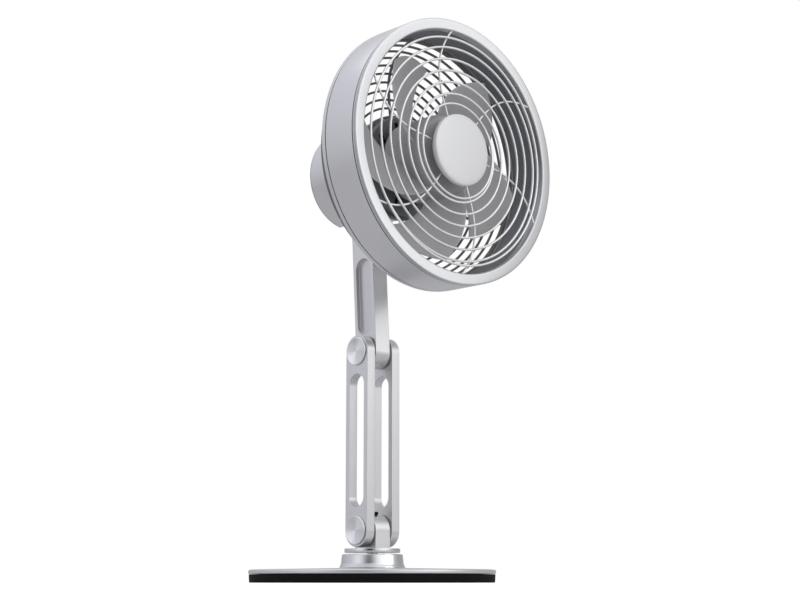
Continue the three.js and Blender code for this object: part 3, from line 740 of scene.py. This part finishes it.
def make_bezel():
    outer, spigot = drum_radius, along("front_bezel")[0]
    profile = rounded([
        (MOUTH, -BEZEL_DEPTH), (BORE, -BEZEL_DEPTH), (BORE, spigot), (LINER, spigot), (LINER, -BEZEL_DEPTH),
        (outer - 2, -BEZEL_DEPTH), (outer - 2, LIP - BEZEL_DEPTH), (outer, LIP - BEZEL_DEPTH, 0.35),
        (outer, -2.4, 0.2), (outer - 0.6, -2.2, 0.1), (outer - 0.6, -1.6, 0.1), (outer, -1.4, 0.2),
        (outer, -0.1, 0.9), (outer - 1.2, 0, 0.5), (MOUTH + 0.8, 0, 0.5), (MOUTH, -0.8, 0.5),
    ], 5)
    piece = turned("front_bezel.fine", profile, about_head, bezel_metal, 220)
    fit(piece, "head", "satin_aluminium", "front_bezel")


def make_shroud():
    back, front = along("shroud")
    outer, inner = radius_of("shroud"), radius_of("shroud") - 1.8
    profile = rounded([
        (inner, back), (outer - 1, back), (outer - 1, back + LIP), (outer, back + LIP, 0.35),
        (outer, front - LIP, 0.35), (outer - 1, front - LIP), (outer - 1, front), (inner, front),
    ])
    piece = turned("shroud.fine", profile, about_head, shell_paint, 220)
    fit(piece, "head", "silver_shell", "shroud")
    seals = merge("joint_seals", [joint_seal(-BEZEL_DEPTH - 0.15), joint_seal(back - 0.15)])
    fit(seals, "head", "black_rubber")


def make_duct():
    back, front = along("duct_ring")
    profile = rounded([(BORE, back, 0.3), (LINER, back), (LINER, front), (BORE, front, 0.3)])
    piece = turned("duct_ring.fine", profile, about_head, duct_plastic, 200)
    fit(piece, "head", "dark_plastic", "duct_ring")


tie_screws = [f"drum_screw_{i}" for i in (1, 2, 3, 4)]


def make_rear_ring():
    back, front = along("rear_ring")
    outer = radius_of("rear_ring")
    profile = rounded([
        (BORE, back, 0.4), (outer - 0.2, back, 1.2), (outer, front - LIP, 0.35), (outer - 1, front - LIP),
        (outer - 1, front), (BORE, front),
    ], 6)
    piece = turned("rear_ring.fine", profile, about_head, shell_paint, 220)
    seat, shank, floor = 2.1, 1.3, back + 2.1
    bore = [
        (0, back - 1), (seat + 0.2, back - 1), (seat, back + 0.2), (seat, floor), (shank, floor),
        (shank, 0), (0, 0),
    ]
    holes = []
    for node in tie_screws:
        centre = middle(node) - HEAD
        holes.append(turned("hole", bore, beside_head(centre.x, centre.z), steps=32))
    carve(piece, *holes)
    fit(piece, "head", "silver_shell", "rear_ring")


def screw(name, node, head_radius, shank, head_depth, body, drive=0.9):
    """A screw along the fan's axis with a rounded head and a six-sided drive recess."""
    back, front = along(node)
    centre = middle(node) - HEAD
    place = beside_head(centre.x, centre.z)
    neck = back + head_depth
    profile = rounded([
        (0, back), (head_radius, back, 0.4), (head_radius, neck), (shank, neck), (shank, front, 0.3),
        (0, front),
    ])
    piece = turned(name, profile, place, zinc, 32)
    socket = [(0, back - 1), (drive, back - 1), (drive, back + 0.8), (0, back + 1.1)]
    carve(piece, turned("drive", socket, place, steps=6))
    fit(piece, body, "zinc_steel", node)


make_bezel()
make_shroud()
make_duct()
make_rear_ring()
for node in tie_screws:
    screw(node + ".fine", node, 1.8, 1.0, 1.5, "head")


# ---- Front grille and hub cap -------------------------------------------------------------------

GRILLE_S = -0.2
WIRE, SPOKE_WIRE = 0.92, 0.8
RING_OUTER, RING_INNER = 88.4, 36.7
SPIRAL_FROM, SPIRAL_TURNS, LEAD = 213, 5.53, 0.18
SPOKE_FROM, SPOKE_ANGLE, SPOKE_SWEEP, SPOKES = 20, 50.5, 17.5, 6


def head_ring(name, radius, s, thickness, material, count=200):
    path = [about_head(radius, 2 * pi * i / count, s) for i in range(count)]
    return wire(name, path, thickness, material, closed=True)


def spiral_path(per_turn=96):
    """Winds inwards at an even pitch; over its lead-in it leaves the outer ring twice as fast."""
    pitch = (RING_OUTER - RING_INNER) / (SPIRAL_TURNS + LEAD)
    count = round(SPIRAL_TURNS * per_turn)
    path = []
    for i in range(count + 1):
        turns = SPIRAL_TURNS * i / count
        radius = RING_OUTER - pitch * (turns + LEAD * min(1, turns / LEAD))
        path.append(about_head(radius, radians(SPIRAL_FROM) + 2 * pi * turns, GRILLE_S))
    return path


def spoke_path(start, s, steps=24):
    """Straight out to the inner ring, then bowed clockwise as far as the bezel."""
    path = []
    end = MOUTH + 0.3
    for i in range(steps + 1):
        r = SPOKE_FROM + (end - SPOKE_FROM) * i / steps
        bow = max(0, (r - RING_INNER) / (end - RING_INNER)) ** 2
        path.append(about_head(r, radians(start - SPOKE_SWEEP * bow), s))
    return path


def make_front_grille():
    behind = GRILLE_S - WIRE - SPOKE_WIRE + 0.25
    pieces = [head_ring("ring", r, GRILLE_S, WIRE, wire_metal) for r in (RING_OUTER, RING_INNER)]
    pieces.append(wire("spiral", spiral_path(), WIRE, wire_metal))
    for i in range(SPOKES):
        path = spoke_path(SPOKE_ANGLE + 360 * i / SPOKES, behind)
        pieces.append(wire("spoke", path, SPOKE_WIRE, wire_metal))
    disc = rounded([(0, behind - 1), (25, behind - 1, 0.4), (25, behind + 0.8, 0.4), (0, behind + 0.8)])
    pieces.append(turned("disc", disc, about_head, wire_metal, 96))
    fit(merge("front_grille.fine", pieces), "head", "bright_wire", "front_grille")


def make_hub_cap():
    back, front = along("hub_cap")
    r = radius_of("hub_cap")
    shoulder, floor = front - 1.4, back + 1.4
    crown, fall, wall, boss, steps = r * 0.93, 1.1, 1.5, 4, 10
    ceiling = shoulder - 1.8
    dome = [(crown * i / steps, front - fall * (i / steps) ** 2.2) for i in range(steps)]
    rim = rounded([
        (crown, front - fall), (r - 0.3, shoulder - 0.2, 1.0), (r, floor, 0.4), (r - wall, floor),
        (r - wall, ceiling), (boss, ceiling), (boss, back), (0, back),
    ], 6)
    piece = turned("hub_cap.fine", dome + rim, about_head, cap_paint, 128, 50)
    fit(piece, "head", "silver_cap", "hub_cap")


make_front_grille()
make_hub_cap()


# ---- Rear guard ---------------------------------------------------------------------------------

GUARD_RADIUS, GUARD_RIM, GUARD_DEPTH = 95.8, -39.4, 31.4
GUARD_HOOPS, GUARD_BAR, RIB_WIDTH, RIB_ANGLE, RIBS = 9, 1.8, 2.4, 38, 6
SLEEVE_INNER, SLEEVE_OUTER, SLEEVE_FRONT, SLEEVE_BACK = 40.3, 42, -66, -71.5


def bowl(count, samples=4000):
    """Points (radius, s) of the bowl's profile at equal distances, from its rim to the sleeve."""
    last = acos((SLEEVE_OUTER / GUARD_RADIUS) ** 4)
    fine = []
    for i in range(samples + 1):
        a = last * i / samples
        fine.append(Vector((GUARD_RADIUS * cos(a) ** 0.25, GUARD_RIM - GUARD_DEPTH * sin(a) ** 1.9)))
    lengths = [0.0]
    for a, b in zip(fine, fine[1:]):
        lengths.append(lengths[-1] + (b - a).length)
    points, k = [], 0
    for i in range(count + 1):
        while lengths[k] < lengths[-1] * i / count - 1e-9:
            k += 1
        points.append(fine[k])
    return points


def make_rib(angle, profile):
    """A bar that follows the bowl, with its section rounded."""
    a = radians(angle)
    side = Vector((-sin(a), 0, cos(a)))
    outlines = []
    for k, p in enumerate(profile):
        run = (profile[min(k + 1, len(profile) - 1)] - profile[max(k - 1, 0)]).normalized()
        out = Vector((run.y, -run.x)) * -1
        ring = []
        for i in range(12):
            t = 2 * pi * i / 12
            across = RIB_WIDTH / 2 * abs(cos(t)) ** 0.6 * (1 if cos(t) >= 0 else -1)
            through = GUARD_BAR / 2 * abs(sin(t)) ** 0.6 * (1 if sin(t) >= 0 else -1)
            q = p + out * through
            ring.append(about_head(q.x, a, q.y) + MM * side * across)
        outlines.append(ring)
    return loft("rib", outlines, guard_plastic, 50)


def make_rear_guard():
    half, soft = GUARD_BAR / 2, 0.6
    pieces = []
    for r, s in bowl(GUARD_HOOPS + 1)[1:-1]:
        hoop = rounded([
            (r - half, s - half, soft), (r + half, s - half, soft),
            (r + half, s + half, soft), (r - half, s + half, soft),
        ], 3)
        pieces.append(turned("hoop", hoop, about_head, guard_plastic, 144, 50))
    rim_back, rim_front = -39.8, -36.4
    rim = rounded([(94.4, rim_back, 0.5), (95.9, rim_back, 0.3), (95.9, rim_front), (94.4, rim_front, 0.4)])
    pieces.append(turned("rim", rim, about_head, guard_plastic, 180))
    sleeve = rounded([
        (SLEEVE_INNER, SLEEVE_BACK), (SLEEVE_OUTER, SLEEVE_BACK, 0.5),
        (SLEEVE_OUTER, SLEEVE_FRONT, 0.5), (SLEEVE_INNER, SLEEVE_FRONT),
    ])
    pieces.append(turned("sleeve", sleeve, about_head, guard_plastic, 120))
    profile = bowl(36)
    for i in range(RIBS):
        pieces.append(make_rib(RIB_ANGLE + 360 * i / RIBS, profile))
    fit(merge("rear_guard.fine", pieces), "head", "dark_plastic", "rear_guard")


make_rear_guard()


# ---- Impeller -----------------------------------------------------------------------------------

BLADES, BLADE_ANGLE = 5, 47
TIP, CORNER_CUT = 82, 11
BLADE_FRONT, BLADE_REAR, BLADE_HALF, CAMBER = -17, -33, 0.9, 1.6
HUB, HUB_WALL, BOSS, BOSS_BACK = 31.5, 2.4, 6, -41


def blade_point(direction, out, across):
    """A point of a blade's middle surface: out runs from hub to tip, across from rear to front edge."""
    corner = (1 - across) ** 2
    r = (HUB - 1.4) + (TIP - CORNER_CUT * corner - HUB + 1.4) * out
    rear = 3.6 - 0.8 * (r - HUB)
    front = 52.9 - 0.87 * (r - HUB)
    angle = radians(direction + rear + (front - rear) * across)
    s = BLADE_REAR + (BLADE_FRONT - BLADE_REAR) * across - CAMBER * sin(pi * across)
    return about_head(r, angle, s)


def make_blade(direction, rows=26, columns=22):
    """Two skins that meet along the rounded edges and stand apart in between."""
    outs = [sin(pi / 2 * i / rows) for i in range(rows + 1)]
    acrosses = [(1 - cos(pi * j / columns)) / 2 for j in range(columns + 1)]
    points, index = [], {}
    for i, out in enumerate(outs):
        for j, across in enumerate(acrosses):
            here = blade_point(direction, out, across)
            du = blade_point(direction, out + 1e-3, across) - here
            dv = blade_point(direction, out, across + 1e-3) - here
            normal = du.cross(dv).normalized()
            swell = (1 - abs(2 * across - 1) ** 10) * (1 - out ** 24)
            half = MM * BLADE_HALF * max(0.0, swell) ** 0.5
            for face in (-1, 1):
                index[i, j, face] = len(points)
                points.append(here + normal * half * face)
    faces = []
    for i in range(rows):
        for j in range(columns):
            for face in (-1, 1):
                corners = ((i, j), (i + 1, j), (i + 1, j + 1), (i, j + 1))
                faces.append([index[row, column, face] for row, column in corners])
    for j in range(columns):
        faces.append([index[0, j, -1], index[0, j, 1], index[0, j + 1, 1], index[0, j + 1, -1]])
    return solid("blade", points, faces, blade_plastic, 70)


def make_impeller():
    back, front = along("impeller")
    bore, inside = 1.9, HUB - HUB_WALL
    hub = rounded([
        (bore, front), (HUB - 3, front, 1), (HUB, front - 4.5, 4), (HUB, back, 0.5), (inside, back, 0.5),
        (inside, front - 5.5), (inside - 3.5, front - 3), (BOSS, front - 3), (BOSS, BOSS_BACK),
        (bore, BOSS_BACK),
    ], 6)
    pieces = [turned("hub", hub, about_head, blade_plastic, 128)]
    pieces += [make_blade(BLADE_ANGLE + 360 * i / BLADES) for i in range(BLADES)]
    fit(merge("impeller.fine", pieces), "impeller", "blade_plastic", "impeller")


make_impeller()


# ---- Motor housing ------------------------------------------------------------------------------


def arm_slot(name, half, from_s, to_s, top):
    """The opening under the housing that the upper arm swings in."""
    low, corner = -radius_of("motor_housing") - 2, 2.5
    right = [(half, low), (half, top - corner), (half - corner, top)]
    corners = [(-half, low), *right, (corner - half, top), (-half, top - corner)]
    outlines = [[MM * (HEAD + Vector((x, -s, z))) for x, z in corners] for s in (from_s, to_s)]
    return loft(name, outlines)


def make_motor_cover():
    back, front = along("motor_cover")
    outer, wall, face, hole = radius_of("motor_cover"), 2, 2.5, 19
    profile = rounded([
        (hole, front, 0.6), (outer, front, 1.6), (outer, back), (outer - wall, back),
        (outer - wall, front - face), (hole, front - face),
    ], 6)
    piece = turned("motor_cover.fine", profile, about_head, duct_plastic, 120)
    vents = 10
    through = (front - face - 1, front + 1)
    carve(piece, *(vent(2 * pi * i / vents, (hole + 4, outer - 5), 1.8, through) for i in range(vents)))
    fit(piece, "head", "dark_plastic", "motor_cover")


def vent(angle, radii, half, s_range):
    """A slot's cutter, chamfered at its corners, on the line out from the axis at an angle."""
    out = Vector((cos(angle), 0, sin(angle)))
    side = Vector((-sin(angle), 0, cos(angle)))
    cut = half * 0.5
    s0, s1 = s_range
    corners = [
        (-half, s0 + cut), (cut - half, s0), (half - cut, s0), (half, s0 + cut),
        (half, s1 - cut), (half - cut, s1), (cut - half, s1), (-half, s1 - cut),
    ]
    outlines = []
    for r in radii:
        outlines.append([MM * (HEAD + out * r + side * across + Vector((0, -s, 0))) for across, s in corners])
    return loft("vent", outlines)


SLOT_HALF, SLOT_FRONT, SLOT_TOP = 8.3, -82.5, -20


def make_motor_housing():
    back, front = along("motor_housing")
    outer, inner = radius_of("motor_housing"), radius_of("motor_housing") - 2.2
    profile = rounded([(inner, back), (outer, back, 0.25), (outer, front, 0.25), (inner, front)])
    piece = turned("motor_housing.fine", profile, about_head, shell_paint, 144)
    carve(piece, arm_slot("arm_slot", SLOT_HALF, back - 1, SLOT_FRONT, SLOT_TOP))
    fit(piece, "head", "silver_shell", "motor_housing")


def socket_block(margin, s0, s1):
    """The charging inlet's stadium shape, grown by a margin."""
    centre = middle("charge_socket") - HEAD
    half, reach = 1.6 + margin, 2.9
    outlines = []
    for s in (s0, s1):
        ring = []
        for i in range(32):
            a = 2 * pi * i / 32
            shift = reach if cos(a) > 0 else -reach
            ring.append(MM * (HEAD + Vector((shift + half * cos(a), -s, centre.z + half * sin(a)))))
        outlines.append(ring)
    return loft("socket_block", outlines)


def make_rear_cap():
    back, front = along("rear_cap")
    outer = radius_of("rear_cap")
    seat = front - 3.5
    spigot = outer - 2.5
    profile = rounded([
        (0, back), (outer - 3, back, 1), (outer, back + 2.6, 2.6), (outer, seat, 0.2), (spigot, seat),
        (spigot, front, 0.4), (spigot - 2, front), (spigot - 2, seat), (0, seat),
    ], 8)
    piece = turned("rear_cap.fine", profile, about_head, shell_paint, 144)
    button = middle("power_button") - HEAD
    button_hole = [(0, back - 1), (7, back - 1), (6.3, back + 0.35), (6.3, seat + 1), (0, seat + 1)]
    cutters = [
        arm_slot("arm_slot", SLOT_HALF, back - 1, front + 2, SLOT_TOP),
        turned("button_hole", button_hole, beside_head(button.x, button.z), steps=64),
        socket_block(0.3, back - 1, seat + 1),
    ]
    carve(piece, *cutters)
    fit(piece, "head", "silver_shell", "rear_cap")


def make_power_button():
    back, front = along("power_button")
    centre = middle("power_button") - HEAD
    r, wide, flange = 6, 7.2, front - 1.2
    dish = [(r * 0.75 * i / 6, back + 0.45 - 0.4 * (i / 6) ** 2) for i in range(7)]
    rim = rounded([
        (r * 0.86, back, 0.3), (r, back + 0.4, 0.4), (r, flange), (wide, flange, 0.2), (wide, front),
        (0, front),
    ])
    piece = turned("power_button.fine", dish + rim, beside_head(centre.x, centre.z), dark_plastic, 64, 50)
    fit(piece, "power_button", "dark_plastic", "power_button")


def make_charge_socket():
    back, front = along("charge_socket")
    piece = socket_block(0, back, front)
    piece.name = "charge_socket.fine"
    piece.data.materials.append(zinc)
    carve(piece, socket_block(-0.5, back - 1, front - 1.5))
    fit(piece, "head", "zinc_steel", "charge_socket")


make_motor_cover()
make_motor_housing()
make_rear_cap()
make_power_button()
make_charge_socket()


# ---- Carried-over nodes -------------------------------------------------------------------------

carried = {
    cast_iron: ["base_weight"],
    zinc: ["base_screw_1", "base_screw_2", "base_screw_3", "swivel_bolt", "tilt_bracket",
           "bracket_screw_1", "bracket_screw_2"],
    nylon: ["swivel_bushing", "lower_washer_left", "lower_washer_right", "elbow_washer_left",
            "elbow_washer_right", "tilt_washer_left", "tilt_washer_right"],
    steel: ["thrust_washer", "lower_pin", "elbow_pin", "tilt_pin", "motor_can", "motor_shaft",
            "button_spring"],
    dark_plastic: ["bulkhead", "motor_bell", "impeller_nut"],
    brass: ["front_bearing", "rear_bearing"],
    copper: ["motor_rotor"],
    cell_wrap: ["battery_cell_left", "battery_cell_right"],
    board: ["control_board"],
}
for material, nodes in carried.items():
    for node in nodes:
        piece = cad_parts[node]
        if not piece.material_slots:
            piece.data.materials.append(material)
        for material_slot in piece.material_slots:
            material_slot.material = material


# ---- Stage --------------------------------------------------------------------------------------


def lift_for_camera(material, strength):
    """Makes the floor run into the white surroundings without adding light from below."""
    tree = Tree(material.node_tree)
    shader = material.node_tree.nodes["Principled BSDF"]
    shader.inputs["Emission Color"].default_value = rgb(1.0)
    seen = tree.add("LightPath", {}).outputs["Is Camera Ray"]
    tree.feed(shader.inputs["Emission Strength"], tree.math("MULTIPLY", seen, strength))


def make_floor():
    count, reach = 64, 6.0
    turns = [2 * pi * i / count for i in range(count)]
    points = [Vector((reach * cos(a), reach * sin(a), 0)) for a in turns]
    mesh = bpy.data.meshes.new("floor")
    mesh.from_pydata(points, [], [list(range(count))])
    pale = surface(
        "floor", rgb(0.6),
        rough=0.9, metallic=0, pattern=grain(60), depth=0.02,
        cloud=(2, 0.01), spread=0.05, wear=1.0, shine={"Specular IOR Level": 0.1},
    )
    lift_for_camera(pale, 0.55)
    mesh.materials.append(pale)
    floor = bpy.data.objects.new("floor", mesh)
    bpy.context.scene.collection.objects.link(floor)


def add_lobe(tree, light, direction, sharpness, colour):
    """Adds a soft patch of light, or takes some away, round one direction of the surroundings."""
    sky = tree.add("TexCoord", {}).outputs["Generated"]
    towards = Vector(direction).normalized()
    facing = tree.add("VectorMath", {0: sky, 1: towards}, operation="DOT_PRODUCT").outputs["Value"]
    share = tree.math("POWER", tree.math("MAXIMUM", facing, 0.0), sharpness)
    patch = tree.add("VectorMath", {0: colour, "Scale": share}, operation="SCALE").outputs["Vector"]
    return tree.add("VectorMath", {0: light, 1: patch}, operation="ADD").outputs["Vector"]


def light_surroundings():
    """A pale studio with soft patches of light and one dark gap at the front left."""
    world = bpy.data.worlds.new("studio")
    bpy.context.scene.world = world
    world.use_nodes = True
    tree = Tree(world.node_tree)
    light = (0.47, 0.47, 0.48)
    front = ((0.05, -0.94, 0.34), 4, (1.1, 1.1, 1.09))
    left = ((-1, 0.03, 0.1), 10, (0.6, 0.6, 0.61))
    upper_left_behind = ((-0.6, 0.6, 0.6), 3, (0.32, 0.33, 0.38))
    overhead = ((0, 0.2, 1), 2, (0.22, 0.22, 0.26))
    dark_gap = ((-0.777, -0.629, 0.0), 12, (-0.7, -0.7, -0.69))
    for direction, sharpness, colour in (front, left, upper_left_behind, overhead, dark_gap):
        light = add_lobe(tree, light, direction, sharpness, colour)
    light = tree.add("VectorMath", {0: light, 1: (0, 0, 0)}, operation="MAXIMUM").outputs["Vector"]
    seen = tree.add("LightPath", {}).outputs["Is Camera Ray"]
    background = world.node_tree.nodes["Background"]
    tree.feed(background.inputs["Color"], tree.mix(seen, light, rgb(1.0)))


def area_light(name, place, aim, size, power):
    data = bpy.data.lights.new(name, "AREA")
    data.shape = "RECTANGLE"
    data.size, data.size_y = size
    data.energy = power
    light = bpy.data.objects.new(name, data)
    light.location = place
    light.rotation_euler = (Vector(aim) - Vector(place)).to_track_quat("-Z", "Y").to_euler()
    bpy.context.scene.collection.objects.link(light)


make_floor()
light_surroundings()
area_light("front_softbox", (0.9, -1.7, 1.0), (0, -0.05, 0.25), (1.2, 1.2), 5)
area_light("top_softbox", (-0.2, 0.1, 1.7), (0, -0.05, 0.2), (1.4, 1.4), 6)
bpy.context.scene.view_settings.view_transform = "Standard"
